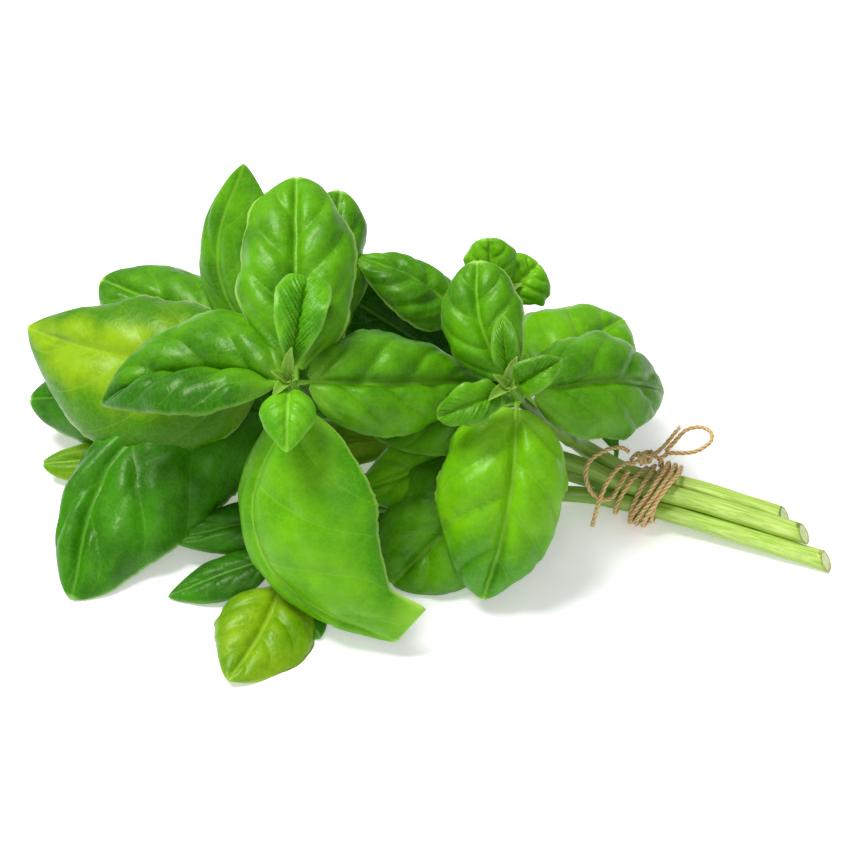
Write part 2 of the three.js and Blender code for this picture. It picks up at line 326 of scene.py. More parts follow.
def leaf_look(name, light, deep, vein, rim, under):
    """phase grows by 1 from one side vein to the next. along, across and edge are the distances
    in mm from the blade's start, from the midrib and from the margin. below is 1 on the
    underside, and tone is how light a place is, partly the leaf's own tone and partly painted
    shade and painted light. base is 1 where the blade starts and up to 1.8 on a flared lobe, both
    of them pale, and pale is how pale the margin is: a painted highlight where the edge catches
    the light, partly the paler underside where it turns down."""
    look = Look(name)
    phase, across, edge, below, tone, base, along, pale = map(look.attribute, LEAF_KEYS)

    off = look.math("ABSOLUTE", look.math("SUBTRACT", look.math("FRACT", phase), 0.5))
    inside = look.times(look.ramp(edge, 0.8, 3.5), 0.9)
    side_vein = look.times(look.ramp(off, 0.468, 0.499), inside)
    middle = look.ramp(look.math("ABSOLUTE", across), 0.75, 0.3)
    main = look.math("MAXIMUM", middle, look.times(side_vein, 0.55))
    flat = look.combined(along, across, tone)
    net = look.cells(0.42, flat)
    fine_net = look.cells(1.1, flat)
    small_vein = look.ramp(net, 0.07, 0.0)
    patches = look.noise(70.0, 3.0)
    mottle = look.noise(420.0, 2.0)

    # Random patches set the shade between deep and light green, and tone adds to it: partly the
    # leaf's own tone, partly painted shade and painted light.
    shade = look.math("ADD", look.ramp(patches, 0.2, 0.8), tone)
    shade = look.math("ADD", shade, look.times(mottle, 0.3), clamp=True)
    top = look.mix(shade, colour(deep), colour(light))
    top = look.tint(top, vein, small_vein, 0.12)
    top = look.tint(top, vein, main, 0.32)
    top = look.tint(top, vein, base, 0.35)
    lower = look.tint(colour(under), vein, main, 0.65)
    lower = look.tint(lower, vein, small_vein, 0.3)
    skin = look.mix(below, top, lower)
    # Pale margins: a painted highlight where the edge catches the light, partly the paler
    # underside where it turns down.
    skin = look.mix(look.times(pale, look.ramp(edge, 1.6, 0.1)), skin, colour(rim))

    mottled = look.ramp(mottle, 0.3, 0.7, 0.34, 0.44)
    gloss = look.math("ADD", look.times(below, 0.16), mottled)
    fine_pillow = look.ramp(fine_net, 0.0, 0.3, 0.0, 0.3)
    pillow = look.math("ADD", look.ramp(net, 0.0, 0.34), fine_pillow)
    grooves = look.math("SUBTRACT", pillow, look.times(side_vein, 0.9))
    normal = look.bump(grooves, 0.16, 0.0004)
    normal = look.bump(look.noise(2600.0, 2.0), 0.06, 0.0001, normal)
    look.set(Base_Color=skin, Roughness=gloss, Normal=normal)
    look.set(
        Subsurface_Weight=0.15,
        Subsurface_Radius=(0.4, 1.0, 0.1),
        Subsurface_Scale=0.0012,
        Specular_IOR_Level=0.26,
        Specular_Tint=(0.85, 1.0, 0.6, 1.0),
        Coat_Weight=0.03,
        Coat_Roughness=0.25,
    )
    return look.material


STEM_KEYS = ("run", "turn", "cut", "rim", "node", "low")


def stem_look():
    """run is the distance from the cut in mm, and turn changes round the stem. cut is 1 on the
    cut face, rim on its browned edge, node at the rings where leaves grow, and low on the side
    that faces down, where the stem is painted a deeper green as painted shade."""
    look = Look("basil_stem")
    run, turn, cut, rim, node, low = map(look.attribute, STEM_KEYS)
    strip = look.combined(turn, look.times(run, 0.02), 0.0)
    lines = look.noise(3.2, 4.0, 0.6, strip)
    fine = look.noise(9.0, 3.0, 0.6, strip)
    patches = look.noise(45.0)
    base = look.mix(look.ramp(lines, 0.35, 0.65), colour("96bc34"), colour("c8e078"))
    base = look.tint(base, "86b01c", look.ramp(fine, 0.5, 0.66), 0.3)
    base = look.tint(base, "a9cc52", look.ramp(patches, 0.45, 0.7), 0.35)
    # The side that faces down is painted a deeper green: painted shade.
    base = look.tint(base, "8cb408", low, 0.75)
    base = look.tint(base, "4c8818", look.ramp(run, 20.0, 130.0), 0.85)
    base = look.tint(base, "5d8f24", node, 0.5)
    pith = look.ramp(look.noise(900.0), 0.35, 0.65)
    base = look.mix(cut, base, look.mix(pith, colour("c9dc86"), colour("e3edb4")))
    base = look.tint(base, "8a6a2c", rim, 0.7)
    normal = look.bump(lines, 0.35, 0.0004)
    normal = look.bump(look.noise(1500.0), 0.12, 0.0002, normal)
    look.set(Base_Color=base, Roughness=look.ramp(fine, 0.3, 0.7, 0.32, 0.5), Normal=normal)
    look.set(
        Subsurface_Weight=0.3,
        Subsurface_Radius=(0.5, 1.0, 0.2),
        Subsurface_Scale=0.003,
        Coat_Weight=0.15,
        Coat_Roughness=0.3,
    )
    return look.material


CORD_KEYS = ("run", "turn", "out")


def twine_look():
    """run is the distance along the cord in mm, turn the angle round each ply, and out the
    distance from the cord's middle as a share of its radius. Where out is small, in the grooves
    between the plies, the cord is painted darker brown as painted shade."""
    look = Look("jute_twine")
    run, turn, out = map(look.attribute, CORD_KEYS)
    slanted = look.math("ADD", look.times(run, 0.35), look.times(turn, 0.9))
    fibres = look.noise(4.0, 5.0, 0.65, look.combined(look.times(turn, 1.3), slanted, 0.0))
    patches = look.noise(160.0, 3.0)
    base = look.mix(look.ramp(fibres, 0.3, 0.7), colour("e6ac4c"), colour("fff0b4"))
    base = look.mix(look.ramp(patches, 0.42, 0.75, 0.0, 0.5), base, colour("dfae62"))
    base = look.mix(look.ramp(fibres, 0.42, 0.3, 0.0, 0.45), base, colour("96602a"))
    # Darker brown where the plies dip towards the cord's middle: painted shade in the grooves
    # between them.
    base = look.mix(look.ramp(out, 0.98, 0.6, 0.0, 0.7), base, colour("9a5c1c"))
    look.set(Base_Color=base, Roughness=0.86, Normal=look.bump(fibres, 0.7, 0.0005))
    look.set(
        Sheen_Weight=0.3,
        Sheen_Roughness=0.5,
        Subsurface_Weight=0.1,
        Subsurface_Radius=(1.0, 0.7, 0.4),
        Subsurface_Scale=0.0008,
    )
    return look.material


# dark and bright are the leaf's greens made darker and lighter: painted shade for leaves that lie
# in shade and painted light for leaves that face the lamp, and partly the deeper and paler green
# that some leaves have.
LOOKS = {
    "leaf": leaf_look("basil_leaf", "549802", "266400", "86bc34", "a6cc60", "6a9f34"),
    "dark": leaf_look("basil_leaf_dark", "388004", "184e00", "6ca830", "9cc470", "5d9430"),
    "bright": leaf_look("basil_leaf_bright", "68ac00", "428c00", "98cc3c", "b8dc6c", "84b83c"),
    "olive": leaf_look("basil_leaf_olive", "84aa08", "407c00", "a0c43c", "c8dc80", "94b444"),
    "young": leaf_look("basil_leaf_young", "60a808", "328204", "9ccf4c", "b8dc70", "80bc40"),
}
STEM_LOOK = stem_look()
TWINE_LOOK = twine_look()


# Twine ---------------------------------------------------------------------

# The route of each free part, as in the CAD, from where it leaves the tie.
FREE = {
    "loop_right": [
        [80, -2.5, 21.5], [82, -1, 22], [84, 0, 22.4], [87.5, -0.4, 22.7], [91, -0.4, 23],
        [93.8, 0.1, 23.5], [96, 1.5, 24], [98.2, 3.5, 24.5], [99, 6, 25], [98.2, 8.6, 25.3],
        [96, 10, 25.5], [93, 9.8, 25.6], [90, 8.6, 25.2], [88, 7.1, 24], [86, 5.4, 22.6],
        [83, 2.8, 20.8],
    ],
    "loop_left": [
        [70, 1.4, 22], [68, 1, 23.8], [66, 0, 25], [63.6, -1.4, 25.8], [61, -3, 26],
        [58.6, -4.6, 25.8], [56.5, -6.2, 25], [55, -8, 23.6], [54.5, -9.8, 21.6],
        [55, -11.6, 19.2], [56.2, -13, 16.8], [58.4, -13.6, 14.6], [61.2, -13.7, 13.3],
        [63.8, -12.8, 13.6], [66, -10.2, 16], [68, -7.8, 18.2], [69.6, -6, 19.4],
    ],
    "tail": [
        [70.4, -2.9, 20.4], [69.4, -4.2, 21.6], [67.8, -6, 22.6], [66, -8, 23],
        [64.4, -9.8, 22.7], [62.8, -11.4, 21.6], [61.4, -13, 20], [60.4, -14.3, 18.2],
        [59.6, -15.3, 16.2], [59, -16, 14], [58.5, -16.5, 12], [58.1, -16.8, 10],
        [57.8, -17, 8], [57.5, -17.1, 6], [57.3, -17.2, 4.4],
    ],
}  # fmt: skip
PLIES = 3
PLY_SIDES = 8
PLY_SHARE = 0.55  # a ply's radius, as a share of the cord's
PLY_TURNS_PER_MM = 0.16
FUZZ_PER_MM = 1.1
FUZZ_RADIUS = 0.045
FRAY_RADIUS = 0.09


def add_cord(skin, route, rng, radius=TWINE_RADIUS, fuzz=FUZZ_PER_MM, step=0.45):
    """Plies twisted round each other along the route, and loose fibres that stand out."""
    count = max(8, int(route.length / step))
    share = np.linspace(0, 1, count)
    centre, heading = route.at(share), route.heading(share)
    side, normal = carried_frames(heading, unit(np.cross(heading[0], [0.3, 0.2, 1.0])))
    run = share * route.length
    ply_radius = radius * PLY_SHARE
    around = angles(PLY_SIDES)
    for ply in range(PLIES):
        turn = TAU * (PLY_TURNS_PER_MM * run + ply / PLIES)
        out = side * np.cos(turn)[:, None] + normal * np.sin(turn)[:, None]
        lumps = 1 + 0.14 * np.sin(run * 0.9 + ply * 2.1) + 0.08 * rng.standard_normal(count)
        middle = centre + out * (radius - ply_radius)
        thick = ply_radius * lumps
        rings = middle[:, None] + thick[:, None, None] * spokes(side, normal, around)
        skin.tube(
            rings,
            run=np.repeat(run, PLY_SIDES),
            turn=np.tile(around, count) + ply * 3.0,
            out=np.linalg.norm(rings - centre[:, None], axis=-1).ravel() / radius,
        )
    for _ in range(int(route.length * fuzz)):
        add_fuzz(skin, route, rng, radius)


def add_fuzz(skin, route, rng, radius):
    at = rng.uniform(0, 1)
    spot, ahead = route.at(at), route.heading(at)
    lift = unit(np.cross(ahead, rng.standard_normal(3)))
    root = spot + lift * radius * 0.6
    reach = rng.uniform(0.7, 2.2)
    bend = unit(ahead * rng.uniform(-1.2, 1.2) + lift * rng.uniform(0.2, 0.9))
    halfway = root + bend * reach * 0.5 + lift * 0.15
    hair(skin, [root, halfway, root + bend * reach], FUZZ_RADIUS)


def hair(skin, points, radius):
    """A loose fibre: a three-sided tube that thins towards its end."""
    points = np.asarray(points, float)
    ahead = unit(points[-1] - points[0])
    side = unit(np.cross(ahead, [0.31, 0.52, 0.79]))
    normal = np.cross(ahead, side)
    turns = np.arange(3) * TAU / 3
    rings = [
        p + r * (np.outer(np.cos(turns), side) + np.outer(np.sin(turns), normal))
        for p, r in zip(points, np.linspace(radius, radius * 0.4, len(points)))
    ]
    skin.tube(rings, run=float(points[0].sum() % 50), turn=1.0, out=1.0)


def build_free_cords():
    rng = np.random.default_rng(7)
    for name, points in FREE.items():
        route = Route(points)
        skin = Skin(CORD_KEYS)
        add_cord(skin, route, rng)
        piece = skin.make(f"twine_{name}_cord", TWINE_LOOK)
        stand_for(piece, f"twine_{name}")


# The outer stems' middles, from the middle of the bundle and from the floor.
BUNDLE = [(-6.4, 7.4), (6.4, 7.4), (3.2, 13), (-3.2, 13)]
# The wrap: turns made so far, place along the bundle, and layer of cord.
WRAP = [
    (0, -5, 1), (0.4, -12, 1), (0.75, -8, 1),
    (1, -2.6, 1), (1.4, -6.5, 1), (1.75, -3.5, 1),
    (2, 0, 1), (2.4, -2.5, 1), (2.75, 0.2, 1),
    (3, 2.6, 1), (3.4, 1, 1), (3.75, 4, 1.2),
    (4, 6.5, 2), (4.4, -1.4, 2), (4.75, 3, 2),
    (5, 4.1, 2), (5.4, -3.8, 2), (5.75, 0.6, 2),
    (6, 1.7, 2), (6.4, -6.2, 2), (6.75, -1.8, 2), (7, -0.7, 2),
]  # fmt: skip
WRAP_STEPS_PER_TURN = 60


def around_bundle(layer):
    """One turn of the cord round the bundle, from its top, in the given layer."""
    reach = STEM_RADIUS + GAP + TWINE_RADIUS + (layer - 1) * (2 * TWINE_RADIUS + GAP)
    turns = math.pi / 2 + TAU * np.arange(91) / 90
    points = []
    for turn in turns:
        out, up = math.cos(turn), math.sin(turn)
        corner = max(BUNDLE, key=lambda p: p[0] * out + p[1] * up)
        points.append((corner[0] + reach * out, corner[1] + reach * up, 0))
    return Route(points, 4)


def wrap_route():
    line = Route(WRAP)
    outlines = [around_bundle(1), around_bundle(2)]
    count = int(WRAP[-1][0] * WRAP_STEPS_PER_TURN)
    # The table is read evenly by its own steps, as the CAD reads it.
    spots = line.points[np.linspace(0, len(line.points) - 1, count + 1).round().astype(int)]
    points = []
    for turns, along, layer in spots:
        inner, outer = (outline.at(turns % 1) for outline in outlines)
        at = inner + (outer - inner) * (layer - 1)
        points.append(in_bundle(along, at[0], at[1]))
    return Route(points, 2)


def build_wrap(rng):
    skin = Skin(CORD_KEYS)
    add_cord(skin, wrap_route(), rng, fuzz=0.7, step=0.6)
    stand_for(skin.make("twine_wrap_cord", TWINE_LOOK), "twine_wrap")


KNOT_MIDDLE = np.array([75.6, -0.6, 20.9])
KNOT_AHEAD = unit(np.array([0.94, 0.2, 0.14]))
KNOT_STEPS = 40
KNOT_STEPS_PER_TURN = 15
# Two strands that cross over the knot, and the short end, which is frayed.
STRANDS = [
    [[80.5, 1.8, 21.6], [77, -1.5, 22.4], [73, 0.6, 21.8], [70.5, -1.6, 20.6]],
    [[80.4, -1.8, 21.2], [76.5, 1.6, 21.6], [72.5, -2.6, 20.8], [70.2, -3.2, 20]],
]
SHORT_END = [[76, -0.5, 20.9], [79.5, 1, 21.8], [82, 2.5, 23.2], [85, 5, 25.5], [86.6, 6.6, 26.8]]
SHORT_END_RADIUS = 0.72
FRAY_START = np.array([86.2, 6.2, 26.5])
FRAY_AHEAD = np.array([0.62, 0.55, 0.5])
FRAY_COUNT = 26


def knot_coil():
    """The bow's crossing: short turns of the cord round the knot's own middle."""
    out = unit(np.cross([0, 0, 1.0], KNOT_AHEAD))
    over = np.cross(KNOT_AHEAD, out)
    coil = []
    for i in range(KNOT_STEPS):
        turn = TAU * i / KNOT_STEPS_PER_TURN
        spread = 2.5 - 5.0 * i / (KNOT_STEPS - 1)
        coil.append(
            KNOT_MIDDLE
            + KNOT_AHEAD * (spread + 0.5 * math.sin(turn * 1.3))
            + out * 2.0 * math.cos(turn)
            + over * 1.25 * math.sin(turn)
        )
    return Route(coil, 6)


def build_knot(rng):
    skin = Skin(CORD_KEYS)
    add_cord(skin, knot_coil(), rng, step=0.4)
    for strand in STRANDS:
        add_cord(skin, Route(strand), rng)
    add_cord(skin, Route(SHORT_END), rng, radius=SHORT_END_RADIUS)
    for _ in range(FRAY_COUNT):
        start = FRAY_START + rng.normal(0, 0.3, 3)
        ahead = unit(FRAY_AHEAD + rng.normal(0, 0.22, 3))
        end = start + ahead * rng.uniform(2.2, 3.4)
        hair(skin, [start, start + ahead * 1.4, end], FRAY_RADIUS)
    stand_for(skin.make("twine_knot_cord", TWINE_LOOK), "twine_knot")


# Stems ---------------------------------------------------------------------

# The cut end and the place at the tie, both in the bundle, and then the way to the tip.
STEMS = {
    "a": ([52, -3.1, 9.9], [-3.2, 13],
          [[53, -1, 18], [14, 0, 33], [-18, -9, 50], [-38, -24, 68], [-42, -32, 80]]),
    "b": ([44, 3.4, 9.5], [3.2, 13],
          [[57, 6, 19], [43, -3, 36], [34, -14, 54], [27, -23, 70]]),
    "c": ([38, 6.7, 3.5], [6.4, 7.4],
          [[56, 13, 13], [33, 27, 27], [22, 34, 44], [24, 33, 62]]),
    "d": ([61, -6.7, 3.5], [-6.4, 7.4],
          [[50, -6, 9], [8, -14, 12], [-26, -24, 16], [-42, -39, 12], [-47, -48, 7]]),
    "e": ([42, 0, 3.5], [0, 7.4],
          [[50, 3, 10.8], [10, 15, 18], [-24, 17, 30], [-43, 8, 44], [-52, 1, 56]]),
}  # fmt: skip
# The smallest leaves at a growing tip: length, width, lean outwards, and place round it.
BUDS = [
    (12, 6.5, 0.75, 0.4), (11, 6, 0.8, 0.4 + math.pi),
    (8, 4.5, 0.5, 2.0), (7.5, 4, 0.55, 2.0 + math.pi),
    (4.5, 2.6, 0.25, 0.9), (4.2, 2.4, 0.3, 0.9 + math.pi),
]  # fmt: skip
BUD_HALF_THICKNESS = 0.16
# Rings inside the cut's rim: their share of its radius, and how far they lie ahead of it,
# because a soft stem's cut face isn't flat. The rim itself and the last of them are brown.
CUT_RINGS = [(0.3, 0.35), (0.75, 0.3), (0.93, 0.0)]
RIM_SHARES = (0.8, 0.9)
CUT_SLANT = 0.7
JOINT_REACH = 2.6  # how far a stem is swollen each way from a joint


def stem_route(cut, tie, path):
    held = [in_bundle(*cut), in_bundle(10, *tie), in_bundle(-11, *tie)]
    return Route([*held, *path])


STEM_ROUTES = {name: stem_route(*stem) for name, stem in STEMS.items()}


def stem_radius(share):
    return STEM_RADIUS + (APEX_RADIUS - STEM_RADIUS) * share**1.6


def width_at(u, point, base):
    """A leaf's half width along it, 1 at the widest, for how full its ends are."""
    widest = base / (base + point)
    return (u / widest) ** base * np.maximum((1 - u) / (1 - widest), 0) ** point


def add_bud(skin, root, ahead, outward, length, width, aside):
    """A tiny folded leaf that has not opened yet."""
    rows, cols = 12, 9
    t, v = np.linspace(0.02, 0.98, rows), np.linspace(-1, 1, cols)
    forward = unit(ahead + outward * aside)
    upper = unit(ahead * aside - outward)
    left = np.cross(upper, forward)
    line = root + forward * (length * t)[:, None] + outward * (0.12 * length * t**2)[:, None]
    half = (width / 2 * width_at(t, 0.8, 0.5))[:, None]
    crimp = 0.12 * np.sin(t[:, None] * 26 + np.abs(v) * 5)
    out = half * np.sin(0.8 * v)
    lift = half * 0.65 * np.abs(v) ** 1.4 + crimp * np.abs(v)
    sheet = line[:, None] + left * out[..., None] + upper * lift[..., None]
    skin_off = upper * BUD_HALF_THICKNESS
    both = np.concatenate([sheet - skin_off, sheet + skin_off], axis=1)
    ring = [*range(cols), *range(2 * cols - 1, cols - 1, -1)]
    skin.tube(both[:, ring], run=90.0, turn=np.tile(np.linspace(0, 4, 2 * cols), rows))


def build_stem(name, route, rng, joints):
    """A ridged, four-sided stem, swollen where its leaves grow, with a slanted cut."""
    count, sides = 150, 40
    share = np.linspace(0, 1, count)
    centre, heading = route.at(share), route.heading(share)
    side, normal = carried_frames(heading, np.array([0.2, 0.3, 1.0]))
    run = share * route.length
    around = angles(sides)
    phase = rng.uniform(0, TAU)
    ridge = (
        1
        + 0.055 * np.cos(4 * (around - phase))
        + 0.02 * np.cos(9 * around + phase)
        + 0.012 * np.cos(16 * around)
    )
    swell = np.zeros(count)
    for joint in joints:
        swell += np.exp(-(((share - joint) * route.length / JOINT_REACH) ** 2))
    swell = np.minimum(swell, 1)
    radius = stem_radius(share) * (1 + 0.16 * swell + 0.02 * np.sin(run * 0.35 + phase))
    off = spokes(side, normal, around)
    rings = centre[:, None] + off * (radius[:, None] * ridge[None])[..., None]
    # The knife went through at a slant: the top of the cut is further back.
    slant = CUT_SLANT * off[0, :, 2] * stem_radius(0)
    rings[0] += heading[0] * slant[:, None]
    rings[1] += heading[1] * CUT_SLANT * slant[:, None]
    middle = rings[0].mean(0)
    face = [middle + (rings[0] - middle) * f + heading[0] * d for f, d in CUT_RINGS]
    rings = np.concatenate([face, rings])

    inner = len(face)
    at_cut, at_rim = np.zeros(count + inner), np.zeros(count + inner)
    at_cut[:inner] = 1
    at_rim[inner - 1 : inner + 1] = RIM_SHARES
    low = smooth(-off[..., 2], -0.1, 0.7)
    skin = Skin(STEM_KEYS)
    skin.tube(
        rings,
        run=np.repeat(np.concatenate([np.zeros(inner), run]), sides),
        turn=np.tile(np.sin(around) * 2 + name_seed(name), len(rings)),
        cut=np.repeat(at_cut, sides),
        rim=np.repeat(at_rim, sides),
        node=np.repeat(np.concatenate([np.zeros(inner), swell]), sides),
        low=np.concatenate([np.zeros(inner * sides), low.ravel()]),
    )
    tip, ahead = centre[-1], heading[-1]
    for length, width, aside, turned in BUDS:
        outward = side[-1] * math.cos(turned) + normal[-1] * math.sin(turned)
        add_bud(skin, tip - ahead * 1.5, ahead, outward, length, width, aside)
    stand_for(skin.make(f"basil_stem_{name}", STEM_LOOK), f"stem_{name}")


# Leaves --------------------------------------------------------------------

# width, petiole, bow, sweep, cup, fold and point mean what they mean in the CAD. A few
# differ from it, and tips and widths do by up to 7 mm. The rest is only looked at:
# - base and point are how full the blade is at its start and at its tip;
# - veins is how many side veins each half has, and mid moves the midrib to one side;
# - puff is how far the skin swells between the veins, in mm, and ribs how far it wrinkles;
# - wave is how far the margin ripples, roll how far it turns down, and rim how pale it is: a
#   painted highlight where the edge catches the light, partly the paler underside where it turns
#   down;
# - dome rounds the blade more than the CAD's;
# - tone is how light the leaf is, partly its own tone and partly painted shade and painted light;
#   tones adds painted shade and painted light to it at the right half, the midrib and the left
#   half, and fade adds them towards the tip;
# - flare moves a lobe of the left margin near the tip.
LEAF = dict(
    width=30, petiole=6, bow=5, sweep=0, cup=0.7, fold=0.2, point=0.8, base=0.55,
    veins=4, puff=1.3, ribs=0.0, wave=0.03, roll=0.04, dome=0.3, mid=0.0, rim=0.2,
    tone=0.0, tones=(0, 0, 0), tip_shading=0.0, look="leaf", flare=(0, 0, 0),
)  # fmt: skip
LEAVES = {
    # Sprig a: the rosette in front.
    "a_back": ("a", 0.96, (-42, 34, 112), (0, -8, 5), dict(
        width=40, bow=4, point=0.5, petiole=3, wave=0.08, puff=1.7, rim=0.8, dome=0.1,
        tip_shading=0.3)),
    "a_front": ("a", 0.96, (-9, -74, 7), (-4, -7, 4), dict(
        width=54, bow=12, sweep=-12, cup=0.9, petiole=3, look="bright", puff=0.8, wave=0.01,
        mid=-0.62, rim=0.5, dome=0.2, tone=-0.2, tones=(0.1, 0.2, -0.5), flare=(10, 0, 2))),
    "a_left": ("a", 0.98, (-105, -17, 58), (0, -2, 9), dict(
        width=42, bow=2, fold=0.75, sweep=-7, petiole=2, puff=1.7, tones=(0.2, 0, -0.9),
        tip_shading=-0.6)),
    "a_right": ("a", 0.98, (18, -6, 58), (0, -6, 8), dict(
        width=36, bow=5, petiole=2, puff=1.6, mid=-0.1, tones=(0.2, 0, -0.5))),
    "a_young_back": ("a", 1, (-37, -6, 100), (0, -8, 5), dict(
        width=20, petiole=1, fold=0.8, point=0.4, base=0.9, look="young", puff=1.0, ribs=0.7,
        wave=0.12, veins=5, dome=0, tone=-0.1)),
    "a_young_front": ("a", 1, (-42, -57, 72), (0, -5, 9), dict(
        width=18, petiole=1, look="young", puff=0.8, base=0.6, ribs=0.1)),
    # Sprig b: the rosette nearer the tie.
    "b_back": ("b", 0.95, (17, 11, 95), (-2, -8, 5), dict(
        width=28, bow=4, sweep=4, point=0.45, petiole=3, puff=1.3, rim=0.8)),
    "b_front": ("b", 0.93, (19, -54, 6), (1, -8, 5), dict(
        width=42, bow=10, petiole=1, point=0.6, puff=1.7, dome=0.6, rim=0.5, mid=0.05,
        base=0.4, look="bright", tone=0.3, tip_shading=-1.5)),
    "b_right": ("b", 0.93, (82, 15, 38), (2, -6, 7), dict(
        width=37, bow=9, sweep=1.5, point=0.6, petiole=2, puff=1.3, dome=0.4, base=0.5)),
    "b_left": ("b", 0.9, (-17, -14, 42), (0, -3, 9), dict(width=24, bow=1, petiole=3)),
    "b_right_back": ("b", 0.8, (69, 37, 52), (1, -5, 9), dict(
        width=46, bow=4, sweep=3, point=0.6, petiole=3, look="bright", puff=1.0)),
    "b_young_right": ("b", 1, (43, -24, 82), (0, -7, 6), dict(
        width=12, petiole=1, fold=0.9, puff=0.5, ribs=0.15, wave=0.12)),
    "b_young_left": ("b", 1, (4, -31, 64), (0, -7, 6), dict(
        width=13, petiole=1, fold=0.6, point=0.6, puff=0.8, ribs=0.25, wave=0.14)),
    "b_young_back": ("b", 1, (25, -6, 86), (-1, -8, 4), dict(
        width=9, petiole=1, fold=0.8, puff=0.4, ribs=0.25)),
    "b_low_left": ("b", 0.68, (-23, -22, 24), (0, -6, 8), dict(
        width=37, bow=6, puff=1.6, look="bright", tones=(0.2, 0, -0.6))),
    "b_low_front": ("b", 0.72, (-11, -45, 4), (-1, -8, 5), dict(
        width=44, bow=8, point=0.5, puff=1.6, dome=0.4)),
    "b_low_right": ("b", 0.6, (62, 15, 29), (0, -5, 8), dict(width=32, bow=2, look="dark")),
    # Sprig c: the back of the bunch.
    "c_folded": ("c", 0.85, (-24, 41, 76), (4, -2, 7), dict(
        width=27, cup=1.2, bow=9, petiole=14, puff=1.7, rim=1.0, ribs=0.15)),
    # c_inner lies in the shade under c_folded, and its green is made dark: painted shade.
    "c_inner": ("c", 0.72, (-26, 46, 54), (0, -7, 5), dict(
        width=44, bow=2, petiole=17, point=0.5, look="dark", dome=0, tone=-0.6, puff=0.6)),
    "c_right": ("c", 0.85, (74, 46, 38), (0, -4, 7), dict(width=26, bow=2, look="dark")),
    "c_top_left": ("c", 1, (22, 40, 84), (0, -7, 6), dict(
        width=18, bow=2, petiole=2, point=0.4, look="bright", wave=0.06)),
    "c_top_right": ("c", 1, (39, 42, 72), (0, -7, 6), dict(
        width=22, bow=2, petiole=2, point=0.4, look="bright", wave=0.06)),
    # Sprig e: the left of the bunch, behind.
    "e_left": ("e", 0.98, (-139, 38, 48), (0, -6, 7), dict(
        width=58, bow=9, sweep=8, petiole=3, look="olive", puff=0.8, mid=-0.1, rim=0.5,
        tones=(-0.9, 0.3, -1.6))),
    "e_up": ("e", 0.97, (-59, 36, 116), (-3, -8, 3), dict(
        width=34, bow=4, sweep=7, petiole=9, puff=0.6, wave=0.02, mid=0.4)),
    "e_behind": ("e", 0.9, (-29, 57, 92), (2, -7, 6), dict(
        width=28, bow=4, point=0.45, wave=0.08, rim=0.9)),
    "e_back": ("e", 0.9, (-116, 62, 51), (0, -5, 8), dict(
        width=38, bow=4, sweep=-2, point=0.5, puff=1.2, rim=0.9)),
    "e_low_left": ("e", 0.85, (-142, 36, 17), (0, -5, 8), dict(
        width=38, bow=4, point=0.5, look="dark", rim=0.8)),
    "e_tip": ("e", 0.64, (-135, 12, 7), (0, -4, 9), dict(
        width=26, bow=2, point=0.5, look="olive")),
    "e_front": ("e", 0.8, (-117, -49, 1), (-2, -6, 7), dict(
        width=50, bow=9, sweep=-20, petiole=16, point=0.6, look="dark", puff=2.0,
        mid=-0.45, rim=0.7, tone=0.15)),
    # Sprig d: low in front.
    "d_under": ("d", 0.8, (-86, -30, 10), (0, -4, 9), dict(width=22, bow=3, look="dark")),
    "d_low": ("d", 0.95, (-85, -48, 1), (0, -2, 9), dict(
        width=18, bow=2, look="dark", puff=0.6)),
    "d_front": ("d", 1, (-62, -87, 3), (0, -4, 9), dict(
        width=34, bow=1, sweep=2, petiole=3, look="olive", puff=0.8, base=0.45)),
    "d_front_right": ("d", 1, (-34, -67, 1), (0, -4, 9), dict(
        width=13, bow=0, look="dark", puff=0.5)),
    # Under and behind, mostly out of sight from the front.
    "c_low_right": ("c", 0.57, (64, 66, 1), (0, 3, 9), dict(width=34, bow=6, petiole=10)),
    "c_low_left": ("c", 0.64, (-6, 70, 1), (0, 3, 9), dict(width=36, bow=6, petiole=10)),
    "c_low_back": ("c", 0.75, (24, 78, 14), (0, 4, 9), dict(width=34, bow=8)),
    "e_low_back": ("e", 0.55, (-62, 68, 1), (0, 3, 9), dict(width=38, bow=6)),
    "e_high_back": ("e", 0.75, (-76, 78, 44), (0, 2, 9), dict(width=34, bow=6)),
    "d_low_left": ("d", 0.65, (-60, -2, 2), (0, -2, 9), dict(width=24, bow=3)),
}  # fmt: skip
BLADE_THICKNESS = 0.55
TOOTH_SPACING = 7.0
# How many points a blade has along and across.
LONG, WIDE = 66, 45
# Where a flared lobe is, along the blade, and how far it reaches either way.
FLARE_AT, FLARE_REACH = 0.93, 0.07


class Midrib:
    """The middle line of a leaf, from 0 at the stem to 1 at the tip, and its frame."""

    def __init__(self, on, at, tip, face, leaf):
        route = STEM_ROUTES[on]
        root, axis = route.at(at), route.heading(at)
        tip = np.array(tip, float)
        out = tip - root
        out = unit(out - axis * out.dot(axis))
        self.start = root + out * (stem_radius(at) + GAP + PETIOLE_RADIUS)
        self.stem_side = root + out * stem_radius(at) * 0.5
        along = tip - self.start
        self.length = float(np.linalg.norm(along))
        self.along = unit(along)
        up = np.array(face, float)
        self.up = unit(up - self.along * up.dot(self.along))
        self.left = np.cross(self.up, self.along)
        self.bow, self.sweep = leaf["bow"], leaf["sweep"]

    def at(self, s):
        s = np.asarray(s, float)[..., None]
        arch = np.sin(math.pi * s)
        return (
            self.start
            + self.along * self.length * s
            + self.up * self.bow * arch
            + self.left * self.sweep * arch
        )

    def frame(self, s):
        s = np.asarray(s, float)
        a, b = np.maximum(s - 0.01, 0), np.minimum(s + 0.01, 1)
        forward = unit(self.at(b) - self.at(a))
        side = self.left - forward * (forward @ self.left)[..., None]
        side = unit(side)
        return side, np.cross(forward, side)


